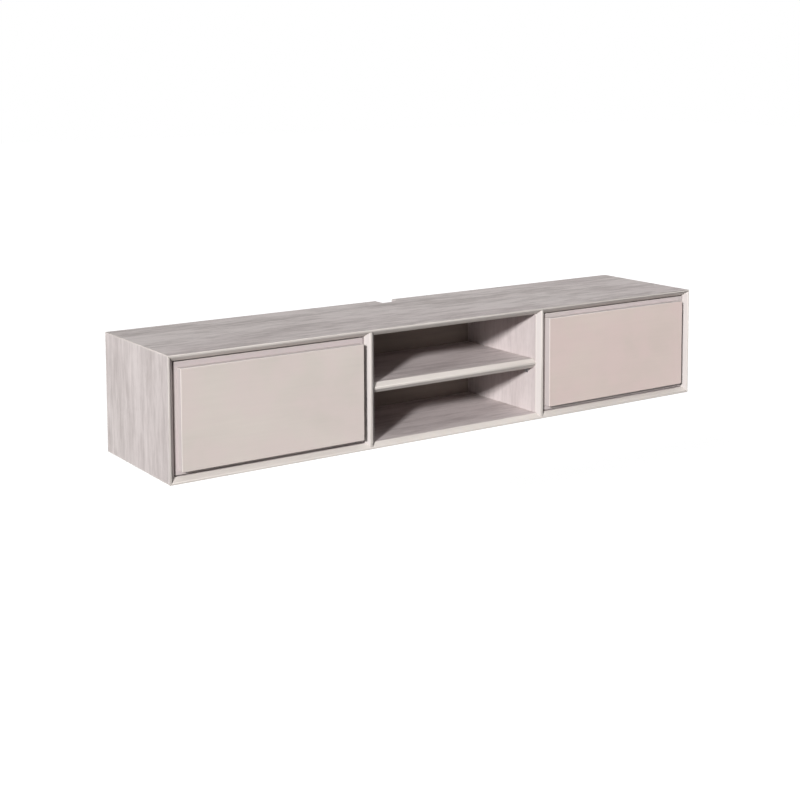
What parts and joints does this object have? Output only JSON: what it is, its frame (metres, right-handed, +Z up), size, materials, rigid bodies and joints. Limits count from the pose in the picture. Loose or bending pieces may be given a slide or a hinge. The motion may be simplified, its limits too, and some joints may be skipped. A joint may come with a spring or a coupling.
{
  "type": "floating media console",
  "caption": "Wall-hung media console in whitewashed timber: an open bay with a shelf between push-to-open drawers with raised panel fronts, on a hidden wall rail.",
  "frame": {"origin": "centre of the wall rail's back face, on the wall plane", "axes": "+X to the right along the cabinet, seen from the front; +Y out of the back, into the wall; +Z up"},
  "size_m": [1.6, 0.358, 0.293],
  "materials": {
    "timber": "whitewashed timber with fine grey-brown grain, matt",
    "painted_front": "smooth warm off-white, low sheen",
    "birch": "clear-lacquered birch",
    "pine": "planed pine, unfinished",
    "back_board": "whitewashed board, matt",
    "zinc_steel": "zinc-plated sheet steel",
    "latch_plastic": "off-white moulded plastic"
  },
  "bodies": {
    "cabinet": {"top_panel": "timber", "bottom_panel": "timber", "left_side_panel": "timber", "right_side_panel": "timber", "left_divider": "timber", "right_divider": "timber", "shelf": "timber", "left_front_shelf_support": "zinc_steel", "left_back_shelf_support": "zinc_steel", "right_front_shelf_support": "zinc_steel", "right_back_shelf_support": "zinc_steel", "back_panel": "back_board", "wall_rail": "zinc_steel", "left_hanger": "zinc_steel", "right_hanger": "zinc_steel", "left_hanging_batten": "pine", "right_hanging_batten": "pine", "left_lower_spacer": "pine", "right_lower_spacer": "pine", "left_drawer_left_cabinet_rail": "zinc_steel", "left_drawer_right_cabinet_rail": "zinc_steel", "right_drawer_left_cabinet_rail": "zinc_steel", "right_drawer_right_cabinet_rail": "zinc_steel", "left_push_latch_housing": "latch_plastic", "right_push_latch_housing": "latch_plastic"},
    "left_drawer": {"left_raised_panel": "painted_front", "left_front_panel": "painted_front", "left_drawer_box_front": "birch", "left_drawer_box_back": "birch", "left_drawer_box_bottom": "birch", "left_drawer_box_left_side": "birch", "left_drawer_box_right_side": "birch", "left_drawer_left_drawer_rail": "zinc_steel", "left_drawer_right_drawer_rail": "zinc_steel", "left_push_latch_strike": "zinc_steel"},
    "right_drawer": {"right_raised_panel": "painted_front", "right_front_panel": "painted_front", "right_drawer_box_front": "birch", "right_drawer_box_back": "birch", "right_drawer_box_bottom": "birch", "right_drawer_box_left_side": "birch", "right_drawer_box_right_side": "birch", "right_drawer_left_drawer_rail": "zinc_steel", "right_drawer_right_drawer_rail": "zinc_steel", "right_push_latch_strike": "zinc_steel"},
    "left_middle_rails": {"left_drawer_left_middle_rail": "zinc_steel", "left_drawer_right_middle_rail": "zinc_steel"},
    "left_outer_cages": {"left_drawer_left_outer_ball_cage": "zinc_steel", "left_drawer_right_outer_ball_cage": "zinc_steel"},
    "left_inner_cages": {"left_drawer_left_inner_ball_cage": "zinc_steel", "left_drawer_right_inner_ball_cage": "zinc_steel"},
    "left_plunger": {"left_push_latch_plunger": "latch_plastic"},
    "right_middle_rails": {"right_drawer_left_middle_rail": "zinc_steel", "right_drawer_right_middle_rail": "zinc_steel"},
    "right_outer_cages": {"right_drawer_left_outer_ball_cage": "zinc_steel", "right_drawer_right_outer_ball_cage": "zinc_steel"},
    "right_inner_cages": {"right_drawer_left_inner_ball_cage": "zinc_steel", "right_drawer_right_inner_ball_cage": "zinc_steel"},
    "right_plunger": {"right_push_latch_plunger": "latch_plastic"}
  },
  "joints": [
    {"name": "left_drawer_slide", "type": "slide", "parent": "cabinet", "child": "left_drawer", "axis": [0, -1, 0], "range_m": [0, 0.25]},
    {"name": "left_middle_rails_slide", "type": "slide", "parent": "cabinet", "child": "left_middle_rails", "axis": [0, -1, 0], "range_m": [0, 0.125]},
    {"name": "left_outer_cages_slide", "type": "slide", "parent": "cabinet", "child": "left_outer_cages", "axis": [0, -1, 0], "range_m": [0, 0.0625]},
    {"name": "left_inner_cages_slide", "type": "slide", "parent": "cabinet", "child": "left_inner_cages", "axis": [0, -1, 0], "range_m": [0, 0.1875]},
    {"name": "left_plunger_slide", "type": "slide", "parent": "cabinet", "child": "left_plunger", "axis": [0, -1, 0], "range_m": [0, 0.038]},
    {"name": "right_drawer_slide", "type": "slide", "parent": "cabinet", "child": "right_drawer", "axis": [0, -1, 0], "range_m": [0, 0.25]},
    {"name": "right_middle_rails_slide", "type": "slide", "parent": "cabinet", "child": "right_middle_rails", "axis": [0, -1, 0], "range_m": [0, 0.125]},
    {"name": "right_outer_cages_slide", "type": "slide", "parent": "cabinet", "child": "right_outer_cages", "axis": [0, -1, 0], "range_m": [0, 0.0625]},
    {"name": "right_inner_cages_slide", "type": "slide", "parent": "cabinet", "child": "right_inner_cages", "axis": [0, -1, 0], "range_m": [0, 0.1875]},
    {"name": "right_plunger_slide", "type": "slide", "parent": "cabinet", "child": "right_plunger", "axis": [0, -1, 0], "range_m": [0, 0.038]}
  ],
  "couplings": [
    {"joint": "left_middle_rails_slide", "follows": "left_drawer_slide", "ratio": 0.5},
    {"joint": "left_outer_cages_slide", "follows": "left_drawer_slide", "ratio": 0.25},
    {"joint": "left_inner_cages_slide", "follows": "left_drawer_slide", "ratio": 0.75},
    {"joint": "left_plunger_slide", "follows": "left_drawer_slide", "ratio": 0.15},
    {"joint": "right_middle_rails_slide", "follows": "right_drawer_slide", "ratio": 0.5},
    {"joint": "right_outer_cages_slide", "follows": "right_drawer_slide", "ratio": 0.25},
    {"joint": "right_inner_cages_slide", "follows": "right_drawer_slide", "ratio": 0.75},
    {"joint": "right_plunger_slide", "follows": "right_drawer_slide", "ratio": 0.15}
  ]
}
